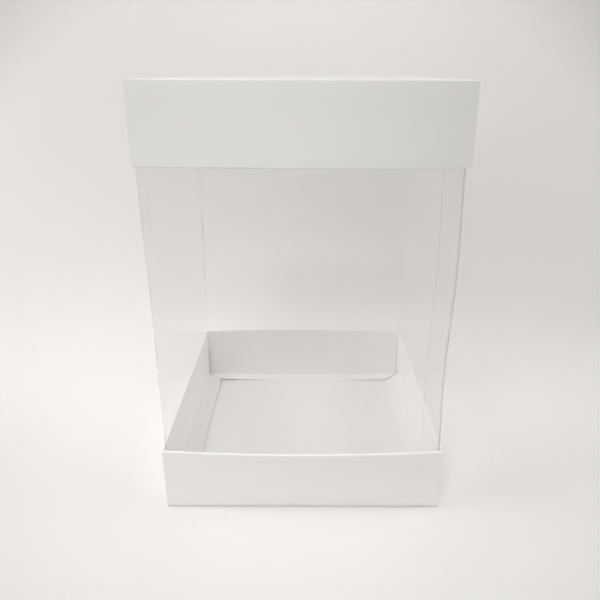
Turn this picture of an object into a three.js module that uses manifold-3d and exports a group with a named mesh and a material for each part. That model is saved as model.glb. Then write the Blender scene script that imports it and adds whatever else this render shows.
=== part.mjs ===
// A tall clear box for a cake or a gift, in its three real pieces: a shallow tray folded from one
// sheet of white board, a square sleeve of clear film that stands inside it, and a deep lid folded
// from board like the tray, which drops over the sleeve's top. Both board pieces have double walls:
// each wall rolls over at its rim, comes down again as a lining and ends in a mitred flange that is
// taped to the floor. The corner tabs lie between the two skins of the front and back walls.
// Millimetres, +Z up, origin in the middle of the tray's underside.

import * as THREE from 'three';
import { mergeVertices } from 'three/addons/utils/BufferGeometryUtils.js';
import Module from 'manifold-3d';

const wasm = await Module();
wasm.setup();

// Clear sleeve, outside sizes
const SLEEVE_WIDTH = 200;
const SLEEVE_DEPTH = 200;
const SLEEVE_HEIGHT = 300;
const FILM = 0.3;
const FILM_CREASE = 0.5;

// The sleeve's glued seam, in the front panel beside the right-hand corner
const SEAM_SETBACK = 2;
const GLUE_WIDTH = 10;
const GLUE_EDGE = 1;
const GLUE_SPACE = 0.1;
const GLUE_SLACK = 0.01;

// Folded board
const BOARD = 0.4;
const FOLD_RADIUS = 0.3;
const SLIP = 0.15;
const TRAY_HEIGHT = 50;
const LID_HEIGHT = 50;
const FLANGE = 14;
const FLANGE_LIFT = 1;
const CORNER_GAP = 1;
const RIM_NOTCH = 2;
const TAB_LENGTH = 40;
const TAB_CLEARANCE = 2;
const TAB_TAPER = 4;

// Double-sided tape under the middle of each flange
const TAPE = 0.15;
const TAPE_LENGTH = 75;
const TAPE_WIDTH = 10;

// How the pieces fit, and how far the front and back walls bulge under the film's spring
const TRAY_FIT = 0.3;
const LID_FIT = 1.5;
const SEAT = 0.2;
const BULGE = 4.5;

// Facets
const FOLD_STEPS = 3;
const RIM_STEPS = 6;
const WALL_LEVELS = 4;
const BULGE_STEPS = 14;
const SIDE_STEPS = 10;
const TAB_STEPS = 4;
const FLOOR_LAP = 3;

// Worked out from the sizes above
const BEND = FOLD_RADIUS + BOARD / 2;
const OUTER_BEND = FOLD_RADIUS + BOARD;
const FLANGE_MIDDLE = BOARD + TAPE + BOARD / 2;
const FLOOR_STACK = BOARD + TAPE + BOARD;
const LINING_FOOT = FLOOR_STACK + FOLD_RADIUS;
const SLEEVE_FOOT = FLOOR_STACK + SEAT;
const SLEEVE_TOP = SLEEVE_FOOT + SLEEVE_HEIGHT;
const BOX_TOP = SLEEVE_TOP + SEAT + FLOOR_STACK;

const whiteBoard = { color: 0xf1f0ec, roughness: 0.62, metalness: 0 };
const clearFilm = { color: 0xf4f7f8, roughness: 0.08, metalness: 0, transparent: true, opacity: 0.2 };
const tapeFinish = { color: 0xe9e4d2, roughness: 0.5, metalness: 0 };
const glueFinish = { color: 0xeef0f0, roughness: 0.25, metalness: 0, transparent: true, opacity: 0.4 };

const mix = (from, to, share) => from + (to - from) * share;

// Evenly spaced values, both ends included.
function spread(from, to, count) {
  return Array.from({ length: count + 1 }, (_, step) => mix(from, to, step / count));
}

// Points of a fold, a round stretch in the plane across the crease. Angles are in quarter turns.
function fold(centreA, centreB, radius, from, to, steps) {
  return spread(from, to, steps).map((quarter) => {
    const angle = (quarter * Math.PI) / 2;
    return { a: centreA + radius * Math.cos(angle), b: centreB + radius * Math.sin(angle) };
  });
}

// A point beside the path, square to it, with the sheet's thickness kept through a bend.
function beside(path, index, distance) {
  const here = path[index];
  const before = path[Math.max(index - 1, 0)];
  const after = path[Math.min(index + 1, path.length - 1)];
  const normals = [[before, here], [here, after]].filter(([p, q]) => p !== q).map(([p, q]) => {
    const length = Math.hypot(q.a - p.a, q.b - p.b);
    return [(q.b - p.b) / length, (p.a - q.a) / length];
  });
  const [m, n] = [normals[0], normals[normals.length - 1]];
  const share = distance / (1 + m[0] * n[0] + m[1] * n[1]);
  return { ...here, a: here.a + (m[0] + n[0]) * share, b: here.b + (m[1] + n[1]) * share };
}

// Splits a four-cornered patch along the diagonal that rises furthest in x, y and z together, so
// that the skins of a bulging wall are faceted alike and keep their distance.
function splitPatch(points, [first, second, third, fourth]) {
  const climb = (from, to) => Math.abs(points[to].reduce((sum, value, axis) => (
    sum + value - points[from][axis]
  ), 0));
  return climb(second, fourth) > climb(first, third)
    ? [[first, second, fourth], [second, third, fourth]]
    : [[first, second, third], [first, third, fourth]];
}

function signedVolume(points, triangles) {
  const [p, q, r] = [new THREE.Vector3(), new THREE.Vector3(), new THREE.Vector3()];
  return triangles.reduce((total, [i, j, k]) => {
    p.set(...points[i]);
    q.set(...points[j]);
    r.set(...points[k]);
    return total + p.dot(q.cross(r)) / 6;
  }, 0);
}

// A bent sheet: a path across the folds, thickened to both sides, and repeated at each station
// along the creases. A station is a share of the path point's reach, so the reaches are the
// outline of the flat sheet. place puts (along, a, b) in the box.
function sheet(path, thickness, stations, place) {
  const left = path.map((_, index) => beside(path, index, thickness / 2));
  const right = path.map((_, index) => beside(path, index, -thickness / 2)).reverse();
  const ring = [...left, ...right];
  const count = ring.length;
  const points = stations.flatMap((station) => ring.map((p) => place(station * p.reach, p)));
  const at = (row, step) => row * count + (step % count);
  const patches = [];
  for (let row = 0; row < stations.length - 1; row += 1) {
    for (let step = 0; step < count; step += 1) {
      patches.push([at(row, step), at(row, step + 1), at(row + 1, step + 1), at(row + 1, step)]);
    }
  }
  const last = stations.length - 1;
  for (let step = 0; step < path.length - 1; step += 1) {
    const far = count - 1 - step;
    patches.push([at(0, far), at(0, far - 1), at(0, step + 1), at(0, step)]);
    patches.push([at(last, step), at(last, step + 1), at(last, far - 1), at(last, far)]);
  }
  const triangles = patches.flatMap((corners) => splitPatch(points, corners));
  if (signedVolume(points, triangles) < 0) triangles.forEach((triangle) => triangle.reverse());
  const geometry = new THREE.BufferGeometry();
  geometry.setAttribute('position', new THREE.Float32BufferAttribute(points.flat(), 3));
  geometry.setIndex(triangles.flat());
  return geometry;
}

function box(width, depth, height, x, y, z) {
  return new THREE.BoxGeometry(width, depth, height).translate(x, y, z);
}

function toManifold(geometry) {
  const bare = geometry.clone();
  bare.deleteAttribute('normal');
  bare.deleteAttribute('uv');
  const merged = mergeVertices(bare, 1e-7);
  return new wasm.Manifold(new wasm.Mesh({
    numProp: 3,
    vertProperties: new Float32Array(merged.attributes.position.array),
    triVerts: new Uint32Array(merged.index.array),
  }));
}

// Joins overlapping pieces of one sheet of board into one solid.
function join(geometries) {
  const solid = geometries.map(toManifold).reduce((whole, piece) => whole.add(piece));
  const mesh = solid.getMesh();
  const geometry = new THREE.BufferGeometry();
  geometry.setAttribute('position', new THREE.BufferAttribute(new Float32Array(mesh.vertProperties), 3));
  geometry.setIndex(new THREE.BufferAttribute(new Uint32Array(mesh.triVerts), 1));
  return geometry;
}

// How far a front or back wall stands out, at a place along it and a share of its full height.
function bulge(along, halfWidth, rise) {
  const across = 1 - Math.min(1, (along / halfWidth) ** 2);
  return BULGE * across * THREE.MathUtils.clamp(rise, 0, 1);
}

const wallRise = (height, wallHeight) => (height - LINING_FOOT) / (wallHeight - LINING_FOOT);

// The path across one double wall: out of the floor, up the outer skin, over the rim, down the
// lining and in along the flange. reach says how far each stretch goes along the wall.
function wallPath(outer, inner, height, levels, reach) {
  const skin = outer - BOARD / 2;
  const lining = inner + BOARD / 2;
  const roll = (skin - lining) / 2;
  const rim = height - BOARD / 2 - roll;
  const foot = FLANGE_MIDDLE + BEND;
  const bottomFold = fold(skin - BEND, BOARD / 2 + BEND, BEND, -1, 0, FOLD_STEPS);
  const rimFold = fold(lining + roll, rim, roll, 0, 2, RIM_STEPS);
  const footFold = fold(lining - BEND, foot, BEND, 0, -1, FOLD_STEPS);
  const withReach = (points, from, to) => points.map((p, index) => (
    { ...p, reach: mix(from, to, index / (points.length - 1)) }
  ));
  const skinLevels = spread(BOARD / 2 + BEND, rim - RIM_NOTCH, levels).slice(1);
  const liningLevels = spread(rim, foot, levels).slice(1, -1);
  return [
    { a: outer - OUTER_BEND - FLOOR_LAP, b: BOARD / 2, reach: reach.floor },
    ...withReach(bottomFold, reach.floor, reach.skin),
    ...skinLevels.map((b) => ({ a: skin, b, reach: reach.skin })),
    ...withReach(rimFold, reach.rim, reach.lining),
    ...liningLevels.map((b) => ({ a: lining, b, reach: mix(reach.foot, reach.lining, b / rim) })),
    ...withReach(footFold, reach.foot, reach.foot),
    { a: inner - FLANGE, b: FLANGE_MIDDLE, reach: reach.foot - FLANGE + FOLD_RADIUS, free: 1 },
  ];
}

// The free edge of a flange springs up a little past the ends of its tape.
function flangeLift(along, point) {
  const past = Math.max(0, Math.abs(along) - TAPE_LENGTH / 2) / (point.reach - TAPE_LENGTH / 2);
  return point.free ? FLANGE_LIFT * past ** 2 : 0;
}

// A corner tab, the end of a side wall's outer skin, turned in behind the front or back wall.
function tabPath(outerX, outerY, height) {
  const skin = outerX - BOARD / 2;
  const crease = outerY - BOARD - SLIP - OUTER_BEND;
  const rim = height - BOARD - RIM_NOTCH;
  const reach = (rim - TAB_CLEARANCE - LINING_FOOT) / 2;
  const turn = fold(skin - BEND, crease, BEND, 0, 1, FOLD_STEPS);
  const root = { a: skin, b: crease - FLOOR_LAP };
  const tab = spread(skin - BEND, outerX - TAB_LENGTH, TAB_STEPS).slice(1);
  const points = [root, ...turn, ...tab.map((a) => ({ a, b: crease + BEND }))];
  return points.map((p, index) => (
    { ...p, reach: index === points.length - 1 ? reach - TAB_TAPER : reach }
  ));
}

// A tray folded from one sheet, floor down, with its tapes. The lid is the same thing turned over.
function foldedTray(insideWidth, insideDepth, height) {
  const innerX = insideWidth / 2;
  const innerY = insideDepth / 2;
  const outerX = innerX + 2 * BOARD + SLIP;
  const outerY = innerY + 3 * BOARD + 2 * SLIP;
  const tabCrease = outerY - BOARD - SLIP - OUTER_BEND;
  const endReach = {
    floor: outerX - OUTER_BEND, skin: outerX, rim: outerX,
    lining: innerX - SLIP, foot: innerX - CORNER_GAP,
  };
  const sideReach = {
    floor: outerY - OUTER_BEND, skin: tabCrease, rim: innerY - SLIP,
    lining: innerY - SLIP, foot: innerY - CORNER_GAP,
  };
  const endPath = wallPath(outerY, innerY, height, WALL_LEVELS, endReach);
  const sidePath = wallPath(outerX, innerX, height, 1, sideReach);
  const tab = tabPath(outerX, outerY, height);
  const tabMiddle = (height - BOARD - RIM_NOTCH + TAB_CLEARANCE + LINING_FOOT) / 2;
  const floorWidth = 2 * (outerX - OUTER_BEND);
  const floorDepth = 2 * (outerY - OUTER_BEND);
  const pieces = [box(floorWidth, floorDepth, BOARD, 0, 0, BOARD / 2)];
  for (const sign of [-1, 1]) {
    pieces.push(sheet(endPath, BOARD, spread(-1, 1, BULGE_STEPS), (along, p) => {
      const out = bulge(along, outerX, wallRise(p.b, height));
      return [along, sign * (p.a + out), p.b + flangeLift(along, p)];
    }));
    pieces.push(sheet(sidePath, BOARD, spread(-1, 1, SIDE_STEPS), (along, p) => (
      [sign * p.a, along, p.b + flangeLift(along, p)]
    )));
    for (const end of [-1, 1]) {
      pieces.push(sheet(tab, BOARD, spread(-1, 1, WALL_LEVELS), (along, p) => {
        const z = tabMiddle + along;
        const out = p.b > tabCrease ? bulge(p.a, outerX, wallRise(z, height)) : 0;
        return [sign * p.a, end * (p.b + out), z];
      }));
    }
  }
  return { board: join(pieces), tapes: flangeTapes(innerX, innerY) };
}

// One strip of tape under the middle of each flange, as named geometries.
function flangeTapes(innerX, innerY) {
  const middle = BOARD + TAPE / 2;
  const inset = FLANGE / 2;
  return {
    front: box(TAPE_LENGTH, TAPE_WIDTH, TAPE, 0, inset - innerY, middle),
    back: box(TAPE_LENGTH, TAPE_WIDTH, TAPE, 0, innerY - inset, middle),
    left: box(TAPE_WIDTH, TAPE_LENGTH, TAPE, inset - innerX, 0, middle),
    right: box(TAPE_WIDTH, TAPE_LENGTH, TAPE, innerX - inset, 0, middle),
  };
}

// Heights at which the sleeve's panels have a row of points, closer together where they bulge.
function sleeveLevels() {
  const low = spread(SLEEVE_FOOT, TRAY_HEIGHT, WALL_LEVELS);
  const high = spread(BOX_TOP - LID_HEIGHT, SLEEVE_TOP, WALL_LEVELS);
  return [...low, ...high];
}

// The sleeve's bulge grows through the tray, stays, and dies away again inside the lid.
function sleeveRise(z) {
  return Math.min(wallRise(z, TRAY_HEIGHT), wallRise(BOX_TOP - z, LID_HEIGHT));
}

// Places a point of the film, given its plan position and height. The front and back panels bulge,
// and the side panels don't, because their points all lie at the corners.
function placeFilm(height, p) {
  const out = bulge(p.a, SLEEVE_WIDTH / 2, sleeveRise(height));
  return [p.a, p.b + Math.sign(p.b) * out, height];
}

// Where the front panel's edge, the glue and the lap have their points, from the corner inwards.
function seamStops() {
  const cut = SLEEVE_WIDTH / 2 - SEAM_SETBACK;
  const glueOuter = cut - GLUE_EDGE;
  const glueInner = glueOuter - GLUE_WIDTH;
  return { cut, glueOuter, glueInner, lapEnd: glueInner - GLUE_EDGE };
}

const filmAt = (points) => points.map((p) => ({ ...p, reach: 1 }));

// The plan of the sleeve: one strip of film, creased at four corners, from the cut edge of the
// front panel round to the lap that is glued behind it.
function sleevePath() {
  const halfX = SLEEVE_WIDTH / 2;
  const halfY = SLEEVE_DEPTH / 2;
  const turn = FILM_CREASE - FILM / 2;
  const [x, y] = [halfX - FILM_CREASE, halfY - FILM_CREASE];
  const lapY = halfY - FILM - GLUE_SPACE;
  const { cut, glueOuter, glueInner, lapEnd } = seamStops();
  const frontStops = [cut, glueOuter, glueInner, lapEnd, ...spread(lapEnd, -x, BULGE_STEPS).slice(1, -1)];
  const backStops = spread(-x, x, BULGE_STEPS).slice(1, -1);
  return filmAt([
    ...frontStops.map((a) => ({ a, b: FILM / 2 - halfY })),
    ...fold(-x, -y, turn, 3, 2, FOLD_STEPS),
    ...fold(-x, y, turn, 2, 1, FOLD_STEPS),
    ...backStops.map((a) => ({ a, b: halfY - FILM / 2 })),
    ...fold(x, y, turn, 1, 0, FOLD_STEPS),
    ...fold(x, FILM_CREASE - lapY, turn, 0, -1, FOLD_STEPS),
    ...[glueOuter, glueInner, lapEnd].map((a) => ({ a, b: FILM / 2 - lapY })),
  ]);
}

function gluePath() {
  const { glueOuter, glueInner } = seamStops();
  const b = FILM + GLUE_SPACE / 2 - SLEEVE_DEPTH / 2;
  return filmAt([glueOuter, glueInner].map((a) => ({ a, b })));
}

function named(name, geometry, finish) {
  geometry.computeVertexNormals();
  const mesh = new THREE.Mesh(geometry, new THREE.MeshStandardMaterial(finish));
  mesh.name = name;
  return mesh;
}

// Turns a tray's geometry over, so that its floor is on top.
function turnedOver(geometry) {
  geometry.scale(1, 1, -1);
  const corners = geometry.index.array;
  for (let first = 0; first < corners.length; first += 3) {
    [corners[first], corners[first + 1]] = [corners[first + 1], corners[first]];
  }
  return geometry;
}

function boardGroup(prefix, boardName, tray, turn) {
  const group = new THREE.Group();
  group.add(named(boardName, turn(tray.board), whiteBoard));
  for (const [place, geometry] of Object.entries(tray.tapes)) {
    group.add(named(`${prefix}_tape_${place}`, turn(geometry), tapeFinish));
  }
  return group;
}

function makeTray() {
  const tray = foldedTray(SLEEVE_WIDTH + 2 * TRAY_FIT, SLEEVE_DEPTH + 2 * TRAY_FIT, TRAY_HEIGHT);
  return boardGroup('tray', 'base_tray', tray, (geometry) => geometry);
}

function makeLid() {
  const lid = foldedTray(SLEEVE_WIDTH + 2 * LID_FIT, SLEEVE_DEPTH + 2 * LID_FIT, LID_HEIGHT);
  const group = boardGroup('lid', 'lift_off_lid', lid, turnedOver);
  group.position.z = BOX_TOP;
  return group;
}

function makeSleeve() {
  const group = new THREE.Group();
  const levels = sleeveLevels();
  const glue = GLUE_SPACE - 2 * GLUE_SLACK;
  group.add(named('clear_sleeve', sheet(sleevePath(), FILM, levels, placeFilm), clearFilm));
  group.add(named('sleeve_seam_glue', sheet(gluePath(), glue, levels, placeFilm), glueFinish));
  return group;
}

const clearBox = new THREE.Group();
clearBox.add(makeTray(), makeSleeve(), makeLid());

export default clearBox;
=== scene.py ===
# %% [markdown]
# # A clear box for a tall cake
# A sleeve of clear film stands in a shallow tray folded from white board, and a deep lid of the
# same board drops over its top. This lesson dresses the three pieces: each sheet of board is bent
# from a flat grid as a real blank is folded, the film is one bent strip with four creases, and
# a plain pale sweep with soft light shows them. Everything is in metres, +Z up.

# %% Load the frame
import math
from collections import namedtuple

import bmesh
import bpy
from mathutils import Matrix, Vector


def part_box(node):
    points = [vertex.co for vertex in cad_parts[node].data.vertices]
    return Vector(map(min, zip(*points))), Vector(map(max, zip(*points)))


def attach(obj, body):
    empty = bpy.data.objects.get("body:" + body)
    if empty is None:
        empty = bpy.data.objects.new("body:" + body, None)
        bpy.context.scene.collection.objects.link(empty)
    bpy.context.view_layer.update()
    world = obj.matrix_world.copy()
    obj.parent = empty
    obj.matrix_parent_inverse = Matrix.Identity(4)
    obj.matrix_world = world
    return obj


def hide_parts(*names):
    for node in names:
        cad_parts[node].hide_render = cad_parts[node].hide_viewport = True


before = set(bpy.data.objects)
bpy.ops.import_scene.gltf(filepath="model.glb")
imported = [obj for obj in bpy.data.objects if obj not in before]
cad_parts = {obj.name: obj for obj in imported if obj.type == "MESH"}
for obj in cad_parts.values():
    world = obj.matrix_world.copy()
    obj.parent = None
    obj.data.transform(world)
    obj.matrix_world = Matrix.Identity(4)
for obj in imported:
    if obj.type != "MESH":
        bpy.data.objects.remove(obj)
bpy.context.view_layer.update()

# %% [markdown]
# ## Sizes
# The outer sizes come from the frame. The rest are the sizes of the stock and of the folds: board
# 0.4 mm thick, film 0.3 mm, and a crease in board that bends round 0.3 mm on its inside.

# %% Sizes
MM = 0.001
BOARD = 0.4 * MM
FILM = 0.3 * MM
CREASE_RADIUS = 0.3 * MM
SLIP = 0.15 * MM
FLANGE = 14 * MM
TAPE = 0.15 * MM
TAPE_HALF = 37.5 * MM
CORNER_GAP = 0.7 * MM
RIM_NOTCH = 2 * MM
TAB_LENGTH = 40 * MM
TAB_CLEARANCE = 2 * MM
BULGE = 4.5 * MM

tray_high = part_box("base_tray")[1]
sleeve_low, sleeve_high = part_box("clear_sleeve")
lid_low, lid_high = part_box("lift_off_lid")

BEND = CREASE_RADIUS + BOARD / 2
OUTER_BEND = CREASE_RADIUS + BOARD
FLANGE_MIDDLE = BOARD + TAPE + BOARD / 2
LINING_FOOT = 2 * BOARD + TAPE + CREASE_RADIUS
TRAY_HEIGHT = tray_high.z
LID_HEIGHT = lid_high.z - lid_low.z
print("tray", TRAY_HEIGHT / MM, "mm high, lid", LID_HEIGHT / MM, "mm")

# %% [markdown]
# ## The camera
# The photograph was taken from just above the lid, close in front, looking down by 20 degrees, so
# the verticals lean in. The lens is given as a focal length in pixels of the 600 pixel picture,
# and the small shift says where the lens's axis meets that picture.

# %% Camera
PICTURE = 600
FOCAL_PIXELS = 585.41
AXIS_X, AXIS_Y = 309.73, 288.63
SENSOR = 36
EYE = Vector((4.75, -458.23, 307.39)) * MM
PITCH, YAW, ROLL = (math.radians(angle) for angle in (20.469, 0.041, 0.157))
NEAREST = 0.01


def make_camera():
    data = bpy.data.cameras.new("camera")
    data.sensor_width = SENSOR
    data.lens = SENSOR * FOCAL_PIXELS / PICTURE
    data.shift_x = (PICTURE / 2 - AXIS_X) / PICTURE
    data.shift_y = (AXIS_Y - PICTURE / 2) / PICTURE
    data.clip_start = NEAREST
    camera = bpy.data.objects.new("camera", data)
    bpy.context.scene.collection.objects.link(camera)
    tilt = Matrix.Rotation(math.pi / 2 - PITCH, 4, "X")
    turn = Matrix.Rotation(-YAW, 4, "Z")
    roll = Matrix.Rotation(ROLL, 4, "Z")
    camera.matrix_world = Matrix.Translation(EYE) @ turn @ tilt @ roll
    bpy.context.scene.camera = camera
    return camera


camera = make_camera()
print("lens", round(camera.data.lens, 2), "mm")

# %% [markdown]
# ## The sweep
# A sweep is a sheet of pale paper that lies flat under the object and curves up behind it, so that
# no horizon shows. A flat grid makes the floor, a quarter spin of its back edge makes the cove,
# and one more extrusion makes the wall. Paper never lies quite flat: it dips by half a millimetre
# beside the box, which makes the fine dark line along the box's foot.

# %% Sweep
FLOOR_FRONT, FLOOR_BACK = -3.0, 0.28
SWEEP_HALF = 3.0
COVE = 0.5
COVE_STEPS = 24
WALL_TOP = 3.0
PAPER_DIP = 0.5 * MM


def back_edges(bm, y):
    """The edges that lie along x at the given y, at the greatest height there."""
    level = [e for e in bm.edges if all(abs(v.co.y - y) < MM for v in e.verts)]
    top = max(v.co.z for e in level for v in e.verts)
    return [e for e in level if all(abs(v.co.z - top) < MM for v in e.verts)]


def make_sweep():
    bm = bmesh.new()
    bmesh.ops.create_grid(bm, x_segments=1, y_segments=1, size=1)
    middle, half = (FLOOR_FRONT + FLOOR_BACK) / 2, (FLOOR_BACK - FLOOR_FRONT) / 2
    bmesh.ops.scale(bm, vec=(SWEEP_HALF, half, 1), verts=bm.verts)
    bmesh.ops.translate(bm, vec=(0, middle, 0), verts=bm.verts)
    edge = back_edges(bm, FLOOR_BACK)
    bmesh.ops.spin(bm, geom=edge, cent=(0, FLOOR_BACK, COVE), axis=(1, 0, 0),
                   angle=math.pi / 2, steps=COVE_STEPS)
    edge = back_edges(bm, FLOOR_BACK + COVE)
    wall = bmesh.ops.extrude_edge_only(bm, edges=edge)["geom"]
    risen = [v for v in wall if isinstance(v, bmesh.types.BMVert)]
    bmesh.ops.translate(bm, vec=(0, 0, WALL_TOP - COVE), verts=risen)
    bmesh.ops.translate(bm, vec=(0, 0, -PAPER_DIP), verts=bm.verts)
    bmesh.ops.recalc_face_normals(bm, faces=bm.faces)
    mesh = bpy.data.meshes.new("sweep")
    bm.to_mesh(mesh)
    bm.free()
    mesh.shade_smooth()
    sweep = bpy.data.objects.new("sweep", mesh)
    bpy.context.scene.collection.objects.link(sweep)
    return sweep


sweep = make_sweep()
print("sweep faces:", len(sweep.data.polygons))

# %% [markdown]
# ## Materials from nodes
# Every finish below is a small tree of nodes. These helpers add a node, set its values by name and
# link what they are given. Patterns are noise on Object coordinates, which keep still on a piece
# when it moves, and two values that the sheets carry in their meshes: crease and bond. A Mix node
# has sockets for numbers, vectors and colours, so its colours are found by their places.

# %% Node helpers
Pattern = namedtuple("Pattern", "scale detail roughness")
LOW_COLOUR, HIGH_COLOUR, MIXED_COLOUR = 6, 7, 2


def new_material(name):
    material = bpy.data.materials.new(name)
    material.use_nodes = True
    tree = material.node_tree
    tree.nodes.clear()
    output = tree.nodes.new("ShaderNodeOutputMaterial")
    return material, tree, output


def feed(tree, socket, value):
    """Links a socket from another one, or gives it a plain value."""
    if isinstance(value, bpy.types.NodeSocket):
        tree.links.new(value, socket)
    else:
        socket.default_value = value


def add(tree, kind, settings=None, **inputs):
    """A node of that kind. An input is a value, or a socket to link from."""
    node = tree.nodes.new("ShaderNode" + kind)
    for name, value in (settings or {}).items():
        setattr(node, name, value)
    for name, value in inputs.items():
        feed(tree, node.inputs[name.replace("_", " ")], value)
    return node


def maths(tree, operation, *values):
    node = add(tree, "Math", {"operation": operation})
    for socket, value in zip(node.inputs, values):
        feed(tree, socket, value)
    return node.outputs[0]


def spread_range(tree, value, low, high):
    """A value from 0 to 1, spread from low to high."""
    return add(tree, "MapRange", Value=value, To_Min=low, To_Max=high).outputs["Result"]


def fade(tree, value, start, end):
    """A soft rise from 0 at the start to 1 at the end."""
    return add(tree, "MapRange", {"interpolation_type": "SMOOTHSTEP"}, Value=value,
               From_Min=start, From_Max=end).outputs["Result"]


def mix_colours(tree, share, low, high):
    """The low colour where the share is 0, and the high one where it is 1."""
    node = add(tree, "Mix", {"data_type": "RGBA"}, Factor=share)
    feed(tree, node.inputs[LOW_COLOUR], low)
    feed(tree, node.inputs[HIGH_COLOUR], high)
    return node.outputs[MIXED_COLOUR]


def mix_shaders(tree, share, under, over):
    node = add(tree, "MixShader", Fac=share)
    tree.links.new(under.outputs[0], node.inputs[1])
    tree.links.new(over.outputs[0], node.inputs[2])
    return node


def object_place(tree):
    return add(tree, "TexCoord").outputs["Object"]


def noise(tree, place, pattern):
    return add(tree, "TexNoise", Vector=place, Scale=pattern.scale, Detail=pattern.detail,
               Roughness=pattern.roughness).outputs["Fac"]


def carried(tree, name):
    """A value that the mesh itself carries."""
    return add(tree, "Attribute", {"attribute_name": name}).outputs["Fac"]


print("node helpers ready")

# %% [markdown]
# The paper's colour carries a painted pool of light: it is bright where the box stands and fades
# to a painted grey shade farther out, where the sheet would lie past the reach of its lamps. That
# keeps the light that it throws back up at the box low down. In front of the box a painted shade
# makes it a little darker than behind it.

# %% Sweep paper
SWEEP_WHITE = (0.865, 0.852, 0.84, 1)
# Painted shade: the grey that the paper fades to far from the box.
SWEEP_PAINTED_SHADE = (0.4, 0.395, 0.39, 1)
POOL_CENTRE = (0, 0.3, 0)
POOL_BRIGHT, POOL_END = 0.7, 1.1
# Painted shade: the paper's colour in front of the box.
NEAR_PAINTED_SHADE = (0.795, 0.783, 0.772, 1)
NEAR_FROM, NEAR_TO = -0.15, 0.1
PAPER_ROUGH = 0.9
PAPER_SHEEN = 0.2


def sweep_paper():
    material, tree, output = new_material("sweep_paper")
    place = object_place(tree)
    away = add(tree, "VectorMath", {"operation": "DISTANCE"})
    feed(tree, away.inputs[0], place)
    feed(tree, away.inputs[1], POOL_CENTRE)
    depth = add(tree, "SeparateXYZ", Vector=place).outputs["Y"]
    # A painted shade darkens the paper in front of the box.
    white = mix_colours(tree, fade(tree, depth, NEAR_FROM, NEAR_TO), NEAR_PAINTED_SHADE, SWEEP_WHITE)
    # A painted pool of light round the box, fading to painted grey shade farther out.
    far = fade(tree, away.outputs["Value"], POOL_BRIGHT, POOL_END)
    tone = mix_colours(tree, far, white, SWEEP_PAINTED_SHADE)
    paper = add(tree, "BsdfPrincipled", Base_Color=tone, Roughness=PAPER_ROUGH,
                Specular_IOR_Level=PAPER_SHEEN)
    tree.links.new(paper.outputs[0], output.inputs["Surface"])
    return material


sweep.data.materials.append(sweep_paper())
print("sweep:", sweep.data.materials[0].name)

# %% [markdown]
# ## Light
# The box stands between big soft windows: a low one on its left is the key, and those on its right
# and in front fill in. Low light matters here, because the lid shades the inside of the box from
# above. Two narrow beams from the front reach the tray's floor through the film, two weak ones fall
# on the paper at the left, and two lamps overhead wash the wall and the top of the lid. The room
# itself is only seen, straight on or in reflections, so its white doesn't light the box. A ray
# through the box crosses many faces of clear film, so it may pass 32 of them.

# %% World and lamps
ROOM_WHITE = (1, 0.99, 0.98, 1)
AMBIENT = 0.0
Lamp = namedtuple("Lamp", "name place aim size spread watts")
LAMPS = [
    Lamp("left_window", (-1.6, -0.3, 0.6), (0, 0, 0.15), 0.9, 180, 16.5),
    Lamp("left_rear", (-0.95, 0.35, 0.5), (0, 0, 0.15), 0.5, 180, 1.25),
    Lamp("left_floor", (-0.75, -0.1, 0.9), (-0.35, 0, 0), 0.3, 50, 0.11),
    Lamp("left_floor_rear", (-0.55, 0.15, 0.8), (-0.35, 0.35, 0), 0.3, 60, 0.15),
    Lamp("right_window", (1.06, -0.28, 0.5), (0, 0, 0.15), 0.6, 180, 4.9),
    Lamp("right_high", (0.89, 0.16, 0.86), (0, 0, 0.15), 0.6, 180, 2.9),
    Lamp("front_window", (-0.45, -1.6, 0.8), (0, 0, 0.15), 0.8, 180, 3.8),
    Lamp("left_beam", (-0.3, -0.75, 0.95), (-0.03, 0, 0), 0.3, 40, 0.2),
    Lamp("right_beam", (0.25, -0.75, 0.95), (-0.03, 0, 0), 0.3, 40, 0.09),
    Lamp("wall_light", (0, 0.1, 1.3), (0, 0.78, 0.6), 0.4, 60, 0.43),
    Lamp("lid_light", (0, 0, 1.4), (0, 0, 0.3), 0.4, 40, 0.22),
]
LAMP_WHITE = (1, 0.99, 0.98)
CLEAR_FACES = 32


def make_world():
    world = bpy.data.worlds.new("room")
    world.use_nodes = True
    tree = world.node_tree
    path = add(tree, "LightPath")
    seen = maths(tree, "MAXIMUM", path.outputs["Is Camera Ray"], path.outputs["Is Glossy Ray"])
    seen = maths(tree, "MAXIMUM", seen, path.outputs["Is Transmission Ray"])
    background = tree.nodes["Background"]
    background.inputs["Color"].default_value = ROOM_WHITE
    tree.links.new(spread_range(tree, seen, AMBIENT, 1), background.inputs["Strength"])
    bpy.context.scene.world = world


def make_lamp(lamp):
    data = bpy.data.lights.new(lamp.name, "AREA")
    data.shape = "SQUARE"
    data.size = lamp.size
    data.spread = math.radians(lamp.spread)
    data.energy = lamp.watts
    data.color = LAMP_WHITE
    thing = bpy.data.objects.new(lamp.name, data)
    bpy.context.scene.collection.objects.link(thing)
    thing.location = lamp.place
    aim = Vector(lamp.aim) - Vector(lamp.place)
    thing.rotation_euler = aim.to_track_quat("-Z", "Y").to_euler()


make_world()
for lamp in LAMPS:
    make_lamp(lamp)
bpy.context.scene.view_settings.view_transform = "Standard"
bpy.context.scene.cycles.transparent_max_bounces = CLEAR_FACES
print("lamps:", [lamp.name for lamp in LAMPS])

# %% [markdown]
# ## Bending a flat sheet
# A folded sheet is a flat grid whose columns follow the folds and whose rows run along them. The
# grid is made flat, and each of its points is then moved to its place. A point of the path knows
# how far it is across and up, how far the sheet reaches along the fold there, how strongly it is
# creased, how far out on a free flange it lies, and whether it is glued to another layer.

# %% Path points
Spot = namedtuple("Spot", "across up reach crease free bond", defaults=(0.0, 0.0, 0.0))


def mix(start, end, share):
    return start + (end - start) * share


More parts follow.
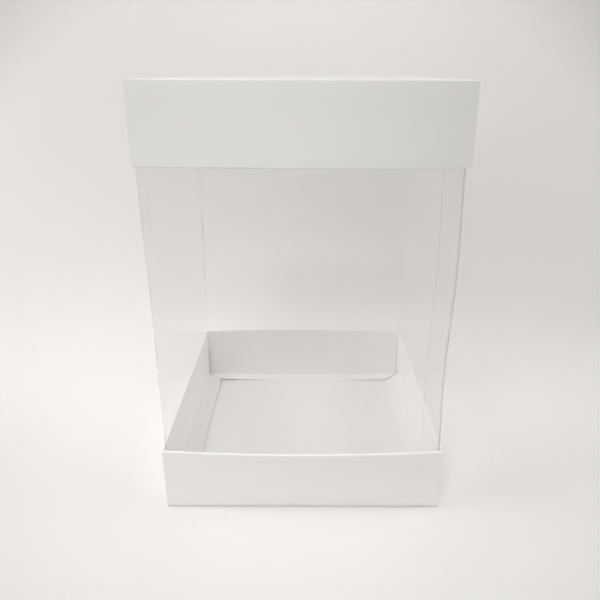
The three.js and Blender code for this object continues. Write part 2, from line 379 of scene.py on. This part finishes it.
def evenly(start, end, steps):
    return [mix(start, end, step / steps) for step in range(steps + 1)]


def arc(across, up, radius, start, end, steps):
    """Points round a fold. Angles are in quarter turns."""
    turns = [quarter * math.pi / 2 for quarter in evenly(start, end, steps)]
    return [(across + radius * math.cos(t), up + radius * math.sin(t)) for t in turns]


def bend_sheet(bm, path, stations, place):
    """Adds a grid with a column for each point of the path and a row for each station."""
    columns, rows = len(path) - 1, len(stations) - 1
    layers = bm.verts.layers.float
    crease = layers.get("crease") or layers.new("crease")
    bond = layers.get("bond") or layers.new("bond")
    grid = bmesh.ops.create_grid(bm, x_segments=columns, y_segments=rows, size=0.5)
    for vert in grid["verts"]:
        spot = path[round((vert.co.x + 0.5) * columns)]
        station = stations[round((vert.co.y + 0.5) * rows)]
        vert.co = place(station, spot)
        vert[crease] = spot.crease
        vert[bond] = spot.bond


print("a quarter fold:", [tuple(round(v / MM, 2) for v in p) for p in arc(0, 0, BEND, 0, 1, 2)])

# %% [markdown]
# The grids meet along their folds, so their doubled points are merged into one sheet. The sheet
# then gets its thickness, half to each side, from a Solidify modifier, which also gives the cut
# edges the piece's second material. The modifier is applied, so that hard edges can be marked
# where the surface turns sharply and the folds stay smooth.

# %% Thickening
MERGE_DISTANCE = 0.01 * MM
SHARP_ANGLE = math.radians(40)


def thicken(bm, name, thickness, materials):
    bmesh.ops.remove_doubles(bm, verts=bm.verts, dist=MERGE_DISTANCE)
    bmesh.ops.recalc_face_normals(bm, faces=bm.faces)
    mesh = bpy.data.meshes.new(name)
    bm.to_mesh(mesh)
    bm.free()
    for material in materials:
        mesh.materials.append(material)
    piece = bpy.data.objects.new(name, mesh)
    bpy.context.scene.collection.objects.link(piece)
    solid = piece.modifiers.new("thickness", "SOLIDIFY")
    solid.thickness = thickness
    solid.offset = 0
    solid.use_even_offset = True
    solid.material_offset_rim = 1
    whole = piece.evaluated_get(bpy.context.evaluated_depsgraph_get())
    piece.data = bpy.data.meshes.new_from_object(whole)
    piece.modifiers.clear()
    piece.data.name = name
    piece.data.shade_smooth()
    piece.data.set_sharp_from_angle(angle=SHARP_ANGLE)
    return piece


print("sheets are merged within", MERGE_DISTANCE / MM, "mm")

# %% [markdown]
# ## The bulge
# The film springs outward, so its front and back panels bow and push the board walls out by 4 to 5
# mm in the middle. The bow dies away at the corners and at the floor of the tray.

# %% Bulge


def bulge(along, half, rise):
    """How far a wall stands out, from nothing at its ends to the full bow at mid-width."""
    across = 1 - min(1, (along / half) ** 2)
    return BULGE * across * min(1, max(0, rise))


def wall_rise(up, height):
    """From 0 at the foot of the lining to 1 at the rim."""
    return (up - LINING_FOOT) / (height - LINING_FOOT)


print("bulge at a quarter of the width:", round(bulge(0.5, 1, 1) / MM, 2), "mm")

# %% [markdown]
# ## A folded tray
# Each wall of the tray is double. The board comes up out of the floor, rolls over at the rim, comes
# down again as a lining and ends in a flange that lies on the floor, mitred at the corners. The
# ends of the side walls' outer skins turn in as tabs between the two skins of the front and back
# walls. The reach of each stretch is what a die cuts: it makes the mitres, the notch below the rim
# and the gap where two linings meet.

# %% Wall path
FOLD_STEPS = 5
RIM_STEPS = 10
WALL_LEVELS = 6
FLANGE_STEPS = 4
FOOT_CREASE = 0.1
SIDE_FOOT_BEND = 1 * MM


def along_fold(points, start, end, crease):
    last = len(points) - 1
    return [Spot(a, b, mix(start, end, i / last), crease) for i, (a, b) in enumerate(points)]


def skin_levels(height, inset):
    """Heights up an outer skin, from its bottom fold to the notch below the rim."""
    return evenly(BOARD / 2 + BEND, height - inset - RIM_NOTCH, WALL_LEVELS)


def wall_path(outer, inner, height, reach, foot_bend=BEND, wear_and_highlight=0.0):
    """Points across a wall. The last argument is how white its rim is, from wear and from a painted
    highlight.
    """
    skin, lining = outer - BOARD / 2, inner + BOARD / 2
    roll = (skin - lining) / 2
    rim = height - BOARD / 2 - roll
    foot = FLANGE_MIDDLE + foot_bend
    bottom = arc(skin - BEND, BOARD / 2 + BEND, BEND, -1, 0, FOLD_STEPS)
    over = arc(lining + roll, rim, roll, 0, 2, RIM_STEPS)
    turn_in = arc(lining - foot_bend, foot, foot_bend, 0, -1, FOLD_STEPS)
    up = skin_levels(height, BOARD / 2 + roll)[1:]
    down = evenly(rim, foot, WALL_LEVELS)[1:-1]
    flange = evenly(lining - foot_bend, inner - FLANGE, FLANGE_STEPS)[1:]
    shares = evenly(0, 1, FLANGE_STEPS)[1:]
    mitre = FLANGE - CREASE_RADIUS
    return [
        *along_fold(bottom, reach["floor"], reach["skin"], FOOT_CREASE),
        *(Spot(skin, b, reach["skin"]) for b in up),
        *along_fold(over, reach["rim"], reach["lining"], wear_and_highlight),
        *(Spot(lining, b, mix(reach["foot"], reach["lining"], b / rim)) for b in down),
        *along_fold(turn_in, reach["foot"], reach["foot"], FOOT_CREASE),
        *(Spot(a, FLANGE_MIDDLE, reach["foot"] - mitre * share, free=share)
          for a, share in zip(flange, shares)),
    ]


plain_reach = dict.fromkeys(("floor", "skin", "rim", "lining", "foot"), tray_high.x)
plain_wall = wall_path(tray_high.x, tray_high.x - 2 * BOARD, TRAY_HEIGHT, plain_reach)
print("points across a wall:", len(plain_wall))

# %% [markdown]
# The tape holds each flange down in its middle, and past the stretch that it holds the free edge
# springs up. How far it does so is a fact of this one box: the left flange has come off the front
# half of its tape and stands 3 mm up at that end, and the other ends less than 2 mm. A flange can
# also stand off a little along its whole free edge, or droop there, as the back one does. The front
# rim is whiter than the others: partly wear, partly a painted highlight along it.

# %% Flanges
Spring = namedtuple("Spring", "start held_from held_to end edge", defaults=(0,))
FIRM = Spring(0.8 * MM, -TAPE_HALF, TAPE_HALF, 0.8 * MM)
TRAY_SPRINGS = {
    "front": FIRM,
    "back": Spring(1.6 * MM, -TAPE_HALF, TAPE_HALF, 1.2 * MM, -0.1 * MM),
    "left": Spring(3 * MM, 5 * MM, 50 * MM, 1.5 * MM, 0.9 * MM),
    "right": Spring(0, -TAPE_HALF, TAPE_HALF, 0),
}
LID_SPRINGS = dict.fromkeys(TRAY_SPRINGS, FIRM)
SPRING_CURVE = 0.8
LIGHT_WEAR = 0.15
# The tray's front rim is whitened fully: partly wear, partly a painted highlight.
TRAY_WEAR_AND_HIGHLIGHT = {"front": 1.0, "back": LIGHT_WEAR, "left": LIGHT_WEAR, "right": LIGHT_WEAR}
LID_WEAR = dict.fromkeys(TRAY_WEAR_AND_HIGHLIGHT, LIGHT_WEAR)


def flange_lift(along, spot, spring):
    """How far a point of a flange has sprung up, with `along` measured along its wall."""
    near = max(0, spring.held_from - along) / (spring.held_from + spot.reach)
    far = max(0, along - spring.held_to) / (spot.reach - spring.held_to)
    ends = spring.start * near ** SPRING_CURVE + spring.end * far ** SPRING_CURVE
    return spot.free * (ends + spring.edge)


print("the left flange springs up", TRAY_SPRINGS["left"].start / MM, "mm at the front")

# %% [markdown]
# The floor and the four walls have their rows at the same places, so their shared edges merge. The
# tabs start at the ends of the side walls' outer skins and merge with them in the same way. Last,
# the front and back walls of the tray lean out a little, because the film presses on them, and the
# tray is out of square: its back stands a little to the left of its front.

# %% Folding a tray
LONG_STEPS = 40
SIDE_STEPS = 40
TAB_STEPS = 8
FOOT_SPREAD, RIM_SPREAD = 1.1 * MM, 2.2 * MM
SKEW = 1.6 * MM


def tab_path(outer_x, crease_y):
    """Points along a corner tab, seen from above."""
    skin = outer_x - BOARD / 2
    turn = arc(skin - BEND, crease_y, BEND, 0, 1, FOLD_STEPS)
    far = evenly(skin - BEND, outer_x - TAB_LENGTH, TAB_STEPS)[1:]
    shares = evenly(0, 1, TAB_STEPS)[1:]
    return [
        *(Spot(a, b, 0, crease=FOOT_CREASE) for a, b in turn),
        *(Spot(a, crease_y + BEND, share) for a, share in zip(far, shares)),
    ]


def fold_tray(bm, outer_x, height, springs, wear_and_highlight, foot_spread=0, rim_spread=0, skew=0):
    """One sheet, folded into a tray that stands on z = 0 with its rims up."""
    outer_y = outer_x + BOARD + SLIP
    inner_x = outer_x - 2 * BOARD - SLIP
    inner_y = outer_y - 3 * BOARD - 2 * SLIP
    crease_y = outer_y - BOARD - SLIP - OUTER_BEND
    floor_x, floor_y = outer_x - OUTER_BEND, outer_y - OUTER_BEND
    end_reach = {"floor": floor_x, "skin": outer_x, "rim": outer_x,
                 "lining": inner_x - SLIP, "foot": inner_x - CORNER_GAP}
    side_reach = {"floor": floor_y, "skin": crease_y, "rim": inner_y - SLIP,
                  "lining": inner_y - SLIP, "foot": inner_y - CORNER_GAP}
    floor = bmesh.ops.create_grid(bm, x_segments=LONG_STEPS, y_segments=SIDE_STEPS, size=1)
    bmesh.ops.scale(bm, vec=(floor_x, floor_y, 1), verts=floor["verts"])
    bmesh.ops.translate(bm, vec=(0, 0, BOARD / 2), verts=floor["verts"])
    side_roll = (outer_x - inner_x - BOARD) / 2
    levels = skin_levels(height, BOARD / 2 + side_roll)
    middle = (levels[0] + levels[-1]) / 2

    def end_wall(sign, name):
        def place(station, spot):
            along = station * spot.reach
            out = bulge(along, outer_x, wall_rise(spot.up, height))
            up = spot.up + flange_lift(along, spot, springs[name])
            return along, sign * (spot.across + out), up
        path = wall_path(outer_y, inner_y, height, end_reach, wear_and_highlight=wear_and_highlight[name])
        bend_sheet(bm, path, evenly(-1, 1, LONG_STEPS), place)

    def side_wall(sign, name):
        def place(station, spot):
            along = station * spot.reach
            up = spot.up + flange_lift(along, spot, springs[name])
            return sign * spot.across, along, up
        path = wall_path(outer_x, inner_x, height, side_reach, SIDE_FOOT_BEND, wear_and_highlight[name])
        bend_sheet(bm, path, evenly(-1, 1, SIDE_STEPS), place)

    def corner_tab(side, end):
        def place(level, spot):
            past = spot.up > crease_y + BEND / 2
            shrink = 1 - past * (TAB_CLEARANCE + spot.reach * TAB_CLEARANCE) / (middle - levels[0])
            z = mix(middle, level, shrink)
            out = bulge(spot.across, outer_x, wall_rise(z, height)) if past else 0
            return side * spot.across, end * (spot.up + out), z
        bend_sheet(bm, tab_path(outer_x, crease_y), levels, place)

    end_wall(-1, "front")
    end_wall(1, "back")
    side_wall(-1, "left")
    side_wall(1, "right")
    for side in (-1, 1):
        for end in (-1, 1):
            corner_tab(side, end)
    for vert in bm.verts:
        vert.co.x -= skew * (1 + vert.co.y / outer_y) / 2
        vert.co.y *= 1 + mix(foot_spread, rim_spread, vert.co.z / height) / outer_y


print("rows along a bulged wall:", LONG_STEPS)

# %% [markdown]
# ## White board
# The board is coated white on both sides: nearly smooth, with a soft satin sheen, a faint mottle
# from the pulp under the coating, and a finer grain. Where it is rolled over at the rims the
# coating stretches and turns brighter and rougher; on the tray's front rim that whitening also
# stands for a painted highlight. Its cut edge shows the uncoated core.

# %% Board finish
BOARD_WHITE = (0.91, 0.9, 0.885, 1)
BOARD_SHADE = (0.89, 0.88, 0.865, 1)
CREASE_WHITE = (0.98, 0.975, 0.96, 1)
CREASE_COVER = 0.95
CREASE_ROUGH = 0.15
MOTTLE = Pattern(90, 4, 0.6)
BOARD_ROUGH = (0.46, 0.58)
BOARD_SHEEN = 0.35
GRAIN = Pattern(1400, 2, 0.5)
GRAIN_STRENGTH, GRAIN_DEPTH = 0.12, 0.02 * MM


def board_finish():
    material, tree, output = new_material("white_board")
    place = object_place(tree)
    mottle = noise(tree, place, MOTTLE)
    crease = carried(tree, "crease")
    tone = mix_colours(tree, mottle, BOARD_SHADE, BOARD_WHITE)
    # On the rims this whitening is wear, and on the tray's front rim also a painted highlight.
    cover = maths(tree, "MULTIPLY", crease, CREASE_COVER)
    worn_and_highlit = mix_colours(tree, cover, tone, CREASE_WHITE)
    rough = maths(tree, "ADD", spread_range(tree, mottle, *BOARD_ROUGH),
                  maths(tree, "MULTIPLY", crease, CREASE_ROUGH))
    bump = add(tree, "Bump", Strength=GRAIN_STRENGTH, Distance=GRAIN_DEPTH,
               Height=noise(tree, place, GRAIN))
    skin = add(tree, "BsdfPrincipled", Base_Color=worn_and_highlit, Roughness=rough,
               Normal=bump.outputs["Normal"], Specular_IOR_Level=BOARD_SHEEN)
    tree.links.new(skin.outputs[0], output.inputs["Surface"])
    return material


print("board skin:", [round(value, 3) for value in BOARD_WHITE[:3]])

# %% Cut edge finish
CORE_WHITE = (0.9, 0.885, 0.85, 1)
CORE_ROUGH = 0.85
FIBRE = Pattern(900, 3, 0.7)
FIBRE_STRENGTH, FIBRE_DEPTH = 0.4, 0.03 * MM


def cut_edge_finish():
    material, tree, output = new_material("board_cut_edge")
    fibre = noise(tree, object_place(tree), FIBRE)
    tone = mix_colours(tree, fibre, CORE_WHITE, CREASE_WHITE)
    bump = add(tree, "Bump", Strength=FIBRE_STRENGTH, Distance=FIBRE_DEPTH, Height=fibre)
    core = add(tree, "BsdfPrincipled", Base_Color=tone, Roughness=CORE_ROUGH,
               Normal=bump.outputs["Normal"])
    tree.links.new(core.outputs[0], output.inputs["Surface"])
    return material


board_materials = [board_finish(), cut_edge_finish()]
print("board:", [material.name for material in board_materials])

# %% [markdown]
# The tray gets the springs, the rim whitening from wear and painted highlight, and the lean of this
# one box. It takes the place of the frame's own tray, and rides the same body.

# %% Tray
bm = bmesh.new()
fold_tray(bm, tray_high.x, TRAY_HEIGHT, TRAY_SPRINGS, TRAY_WEAR_AND_HIGHLIGHT, FOOT_SPREAD, RIM_SPREAD, SKEW)
tray_board = thicken(bm, "folded_tray", BOARD, board_materials)
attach(tray_board, "tray")
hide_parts("base_tray")
print("tray faces:", len(tray_board.data.polygons))

# %% [markdown]
# The lid is the same tray, a little wider so that it drops over the sleeve with room to spare, and
# turned upside down. Turning it over by a half turn about X keeps its surface facing out.

# %% Lid
bm = bmesh.new()
fold_tray(bm, lid_high.x, LID_HEIGHT, LID_SPRINGS, LID_WEAR)
over = Matrix.Translation((0, 0, lid_high.z)) @ Matrix.Rotation(math.pi, 4, "X")
bmesh.ops.transform(bm, matrix=over, verts=bm.verts)
lid_board = thicken(bm, "folded_lid", BOARD, board_materials)
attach(lid_board, "lid")
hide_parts("lift_off_lid")
print("lid faces:", len(lid_board.data.polygons))

# %% [markdown]
# ## The film sleeve
# The sleeve is one strip of stiff film, creased at four corners. It starts at its cut edge in the
# front panel, 2 mm from the right-hand corner, goes round the box, and ends in a lap that is glued
# behind that edge. Seen from above its path is a bent sheet like the others, and its rows are
# heights. The creases are narrow bands where the film is dulled and darkened with painted shade.

# %% Film path
FILM_CREASE = 0.5 * MM
FILM_TURN = FILM_CREASE - FILM / 2
CREASE_BAND = 0.6 * MM
CREASE_FADE = 1.0 * MM
SEAM_SETBACK = 2 * MM
GLUE_EDGE = 1 * MM
GLUE_WIDTH = 10 * MM
GLUE_SPACE = 0.1 * MM
FILM_COLUMNS = 36
SIDE_COLUMNS = 8
# How dull each crease is: left, back left, back right, right. The haze there is dark grey painted
# shade.
CREASE_DULL_SHADE = (0.25, 0.4, 0.03, 0.6)

half_x = sleeve_high.x
half_y = half_x
inside_lap = half_y - FILM - GLUE_SPACE
cut_edge = half_x - SEAM_SETBACK
glue_outer = cut_edge - GLUE_EDGE
glue_inner = glue_outer - GLUE_WIDTH
lap_end = glue_inner - GLUE_EDGE


def panel(start, end, line, steps, marks):
    """Points along a panel, on a line of constant y. Marks are how dull its two creases are, their
    dark haze being painted shade.
    """
    step = math.copysign(1, end - start)
    near = [Spot(start, line, 1, marks[0]), Spot(start + step * CREASE_BAND, line, 1, marks[0])]
    far = [Spot(end - step * CREASE_BAND, line, 1, marks[1]), Spot(end, line, 1, marks[1])]
    clear = evenly(start + step * CREASE_FADE, end - step * CREASE_FADE, steps)
    return [*near, *(Spot(x, line, 1) for x in clear), *far]


def side_panel(line, start, end, steps, marks):
    """The same for a side panel, on a line of constant x."""
    return [Spot(line, s.across, 1, s.crease) for s in panel(start, end, 0, steps, marks)]


def corner(x, y, start, end, mark):
    """Points round one of the film's creases."""
    return [Spot(a, b, 1, mark) for a, b in arc(x, y, FILM_TURN, start, end, FOLD_STEPS)]


def film_path():
    """Points once round the sleeve, seen from above, from its cut edge to the end of its lap."""
    x, y = half_x - FILM_CREASE, half_y - FILM_CREASE
    front, edge = FILM / 2 - half_y, half_x - FILM / 2
    lap_y = FILM / 2 - inside_lap
    lap_corner = lap_y + FILM_TURN
    left, back_left, back_right, right = CREASE_DULL_SHADE
    glued = (glue_outer, glue_inner)
    return [
        Spot(cut_edge, front, 1),
        *(Spot(a, front, 1, bond=1.0) for a in glued),
        *panel(lap_end, -x, front, FILM_COLUMNS, (0.0, left)),
        *corner(-x, -y, 3, 2, left)[1:],
        *side_panel(-edge, -y, y, SIDE_COLUMNS, (left, back_left))[1:],
        *corner(-x, y, 2, 1, back_left)[1:],
        *panel(-x, x, -front, FILM_COLUMNS, (back_left, back_right))[1:],
        *corner(x, y, 1, 0, back_right)[1:],
        *side_panel(edge, y, lap_corner, SIDE_COLUMNS, (back_right, right))[1:],
        *corner(x, lap_corner, 0, -1, right)[1:],
        Spot(x - CREASE_BAND, lap_y, 1, right),
        Spot(x - CREASE_FADE, lap_y, 1),
        *(Spot(a, lap_y, 1, bond=1.0) for a in glued),
        Spot(lap_end, lap_y, 1),
    ]


print("points round the sleeve:", len(film_path()))

# %% [markdown]
# The film of a real box isn't quite straight. It follows the tray's walls as they lean out and its
# skewed back, the left front crease leans out towards the lid, and the right one waves by a
# millimetre. The back left crease has its dullness and painted shade only along its middle and at
# its foot.

# %% Film levels
FILM_ROWS = 12
LEFT_LEAN = 1.2 * MM
LEAN_FROM, LEAN_TO = 0.14, 0.25
WAVE = 1.1 * MM
WAVE_FROM, WAVE_TO = 0.06, 0.24
SQUARE_AT = 0.2
DULL_SHADE_FROM, DULL_SHADE_TO = 0.098, 0.18
DULL_SHADE_FOOT = 0.036
DULL_SHADE_FADE = 0.012
DULL_SHADE_LEAST = 0.1


def smooth(share):
    share = min(1, max(0, share))
    return share * share * (3 - 2 * share)


def sleeve_rise(z):
    """How much of the bulge a height has: it dies away inside the tray and inside the lid."""
    return min(wall_rise(z, TRAY_HEIGHT), wall_rise(lid_high.z - z, LID_HEIGHT))


def sway(z, spot):
    """How far the front creases stray along x, fading out towards the middle and the back."""
    front = (half_y - spot.up) / (2 * half_y)
    share = spot.across / half_x
    if share < 0:
        return -LEFT_LEAN * smooth((z - LEAN_FROM) / (LEAN_TO - LEAN_FROM)) * front * share ** 2
    turn = min(1, max(0, (z - WAVE_FROM) / (WAVE_TO - WAVE_FROM)))
    return -WAVE * math.sin(2 * math.pi * turn) * front * share ** 2


def skew_shift(z, spot):
    """How far the foot of the sleeve follows the tray's skew, towards the back."""
    back = (half_y + spot.up) / (2 * half_y)
    return -SKEW * back * (1 - smooth((z - TRAY_HEIGHT) / (SQUARE_AT - TRAY_HEIGHT)))


def press(z):
    """How far the film's middle presses on past its bulge, most at the tray's rim."""
    if z < TRAY_HEIGHT:
        return RIM_SPREAD * z / TRAY_HEIGHT
    return RIM_SPREAD * (1 - smooth((z - TRAY_HEIGHT) / (lid_low.z - TRAY_HEIGHT)))


def place_film(z, spot):
    """Where a point of the film lies at a height, with its bulge and all its strays."""
    side = math.copysign(1, spot.up)
    middle = 1 - min(1, (spot.across / half_x) ** 2)
    out = bulge(spot.across, half_x, sleeve_rise(z)) + press(z) * middle
    across = spot.across + sway(z, spot) + skew_shift(z, spot)
    return across, spot.up + side * out, z


def shade_back_left_crease(bm):
    """Fades the dullness and painted shade of the back left crease outside its middle stretch and
    its foot.
    """
    crease = bm.verts.layers.float["crease"]
    for vert in bm.verts:
        if vert.co.x < 0 < vert.co.y:
            z = vert.co.z
            middle = smooth((z - DULL_SHADE_FROM) / DULL_SHADE_FADE) * smooth((DULL_SHADE_TO - z) / DULL_SHADE_FADE)
            foot = smooth((DULL_SHADE_FOOT - z) / DULL_SHADE_FADE)
            vert[crease] *= mix(DULL_SHADE_LEAST, 1, middle + foot)


film_levels = [
    *evenly(sleeve_low.z, TRAY_HEIGHT, FILM_ROWS),
    *evenly(TRAY_HEIGHT, lid_low.z, 2 * FILM_ROWS)[1:],
    *evenly(lid_low.z, sleeve_high.z, FILM_ROWS)[1:],
]
print("rows up the sleeve:", len(film_levels))

# %% [markdown]
# ## Clear film
# Stiff clear film mirrors a few parts in a hundred of the light at each face, and far more at a
# grazing angle, so each face mixes a straight-through shader with a gloss by Fresnel's law. On the
# way out of the film the ratio of the two indices is turned round, and the index given to the
# node is turned round with it, because the light really leaves a thin sheet at the angle at which
# it came in. Where two layers are glued the faces between them vanish, so only half of the mirror,
# the tint and the haze is left on each layer. A real sheet is a little wavy, so the mirror is also
# weaker than the law says. A little dull haze lies on top, with faint streaks of it. On the
# creases, which send the light away, more of it lies, in a dark grey that paints their shade.

# %% Film finish
FILM_IOR = 1.5
MIRROR = 0.52
MIRROR_WHITE = (1, 1, 1, 1)
MIRROR_ROUGH = 0.06
FILM_CLEAR = (0.992, 0.992, 0.992, 1)
BOND_CLEAR = (0.996, 0.996, 0.996, 1)
BOND_SHARE = 0.5
FILM_HAZE = 0.01
CREASE_HAZE_AND_SHADE = 0.45
STREAK_HAZE = 0.01
STREAKS = Pattern(1, 5, 0.6)
STREAK_STRETCH = (60, 60, 3)
HAZE_WHITE = (0.85, 0.85, 0.84, 1)
HAZE_ROUGH = 0.5
# Painted shade: the dark grey of the haze on the film's creases.
CREASE_SHADE_GREY = (0.4, 0.385, 0.37, 1)


def film_shader(tree, haze):
    """A clear face and its mirror, under as much dull haze as it is given, dark grey with painted
    shade on the creases.
    """
    leaving = add(tree, "NewGeometry").outputs["Backfacing"]
    index = spread_range(tree, leaving, FILM_IOR, 1 / FILM_IOR)
    bond = carried(tree, "bond")
    mirror = maths(tree, "MULTIPLY", add(tree, "Fresnel", IOR=index).outputs["Fac"],
                   spread_range(tree, bond, MIRROR, MIRROR * BOND_SHARE))
    tint = mix_colours(tree, bond, FILM_CLEAR, BOND_CLEAR)
    through = add(tree, "BsdfTransparent", Color=tint)
    gloss = add(tree, "BsdfAnisotropic", Color=MIRROR_WHITE, Roughness=MIRROR_ROUGH)
    clear = mix_shaders(tree, mirror, through, gloss)
    # The haze turns dark grey on the creases: painted shade.
    tone = mix_colours(tree, carried(tree, "crease"), HAZE_WHITE, CREASE_SHADE_GREY)
    dull_and_shade = add(tree, "BsdfPrincipled", Base_Color=tone, Roughness=HAZE_ROUGH)
    return mix_shaders(tree, haze, clear, dull_and_shade).outputs[0]


def film_finish():
    material, tree, output = new_material("clear_film")
    drawn = add(tree, "Mapping", Vector=object_place(tree), Scale=STREAK_STRETCH)
    streaks = noise(tree, drawn.outputs[0], STREAKS)
    haze = maths(tree, "ADD", spread_range(tree, streaks, 0, STREAK_HAZE), FILM_HAZE)
    haze = maths(tree, "MULTIPLY", haze, spread_range(tree, carried(tree, "bond"), 1, BOND_SHARE))
    creased = maths(tree, "MULTIPLY", carried(tree, "crease"), CREASE_HAZE_AND_SHADE)
    haze = maths(tree, "ADD", haze, creased)
    tree.links.new(film_shader(tree, haze), output.inputs["Surface"])
    return material


print("film:", MIRROR, "of the law's mirror, haze", FILM_HAZE)

# %% Film edge finish
NICKS = Pattern(700, 3, 0.6)
EDGE_HAZE = (0.15, 0.35)


def film_edge_finish():
    material, tree, output = new_material("film_cut_edge")
    haze = spread_range(tree, noise(tree, object_place(tree), NICKS), *EDGE_HAZE)
    tree.links.new(film_shader(tree, haze), output.inputs["Surface"])
    return material


film_materials = [film_finish(), film_edge_finish()]
print("film materials:", [material.name for material in film_materials])

# %% [markdown]
# The strip is bent and thickened as the board is. It takes the place of the frame's own sleeve,
# and rides its body.

# %% Sleeve
bm = bmesh.new()
bend_sheet(bm, film_path(), film_levels, place_film)
shade_back_left_crease(bm)
sleeve_film = thicken(bm, "film_sleeve", FILM, film_materials)
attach(sleeve_film, "sleeve")
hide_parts("clear_sleeve")
print("sleeve faces:", len(sleeve_film.data.polygons))

# %% [markdown]
# ## The glued seam
# A line of clear glue fills the space between the lap and the front panel. It is a bent sheet too,
# a little thinner than that space, and faintly cloudy where the glue has spread unevenly.

# %% Glue
GLUE_THICKNESS = 0.08 * MM
GLUE_COLUMNS = 6
GLUE_CLEAR = (0.999, 0.999, 0.998, 1)
GLUE_CLOUD = Pattern(160, 4, 0.6)
GLUE_HAZE = 0.005
GLUE_ROUGH = 0.4


def glue_finish():
    material, tree, output = new_material("clear_glue")
    haze = spread_range(tree, noise(tree, object_place(tree), GLUE_CLOUD), 0, GLUE_HAZE)
    clear = add(tree, "BsdfTransparent", Color=GLUE_CLEAR)
    milky = add(tree, "BsdfPrincipled", Base_Color=HAZE_WHITE, Roughness=GLUE_ROUGH)
    both = mix_shaders(tree, haze, clear, milky)
    tree.links.new(both.outputs[0], output.inputs["Surface"])
    return material


bm = bmesh.new()
glue_y = FILM + GLUE_SPACE / 2 - half_y
glue_path = [Spot(a, glue_y, 1) for a in evenly(glue_outer, glue_inner, GLUE_COLUMNS)]
bend_sheet(bm, glue_path, film_levels, place_film)
glue = glue_finish()
glue_line = thicken(bm, "seam_glue_line", GLUE_THICKNESS, [glue, glue])
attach(glue_line, "sleeve")
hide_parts("sleeve_seam_glue")
print("glue faces:", len(glue_line.data.polygons))

# %% [markdown]
# ## Tape
# The strips of double-sided tape stay as the frame has them. They get the look of a yellowish
# adhesive film, cloudy where air is trapped under it.

# %% Tape finish
TAPE_CLEAR = (0.86, 0.83, 0.72, 1)
TAPE_CLOUD = (0.93, 0.91, 0.84, 1)
AIR = Pattern(400, 3, 0.55)
TAPE_ROUGH = (0.3, 0.6)


def tape_finish():
    material, tree, output = new_material("double_sided_tape")
    air = noise(tree, object_place(tree), AIR)
    tone = mix_colours(tree, air, TAPE_CLEAR, TAPE_CLOUD)
    tape = add(tree, "BsdfPrincipled", Base_Color=tone,
               Roughness=spread_range(tree, air, *TAPE_ROUGH))
    tree.links.new(tape.outputs[0], output.inputs["Surface"])
    return material


tape = tape_finish()
for name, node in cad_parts.items():
    if "_tape_" in name:
        node.data.materials.clear()
        node.data.materials.append(tape)
print("tapes:", sum("_tape_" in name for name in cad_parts))
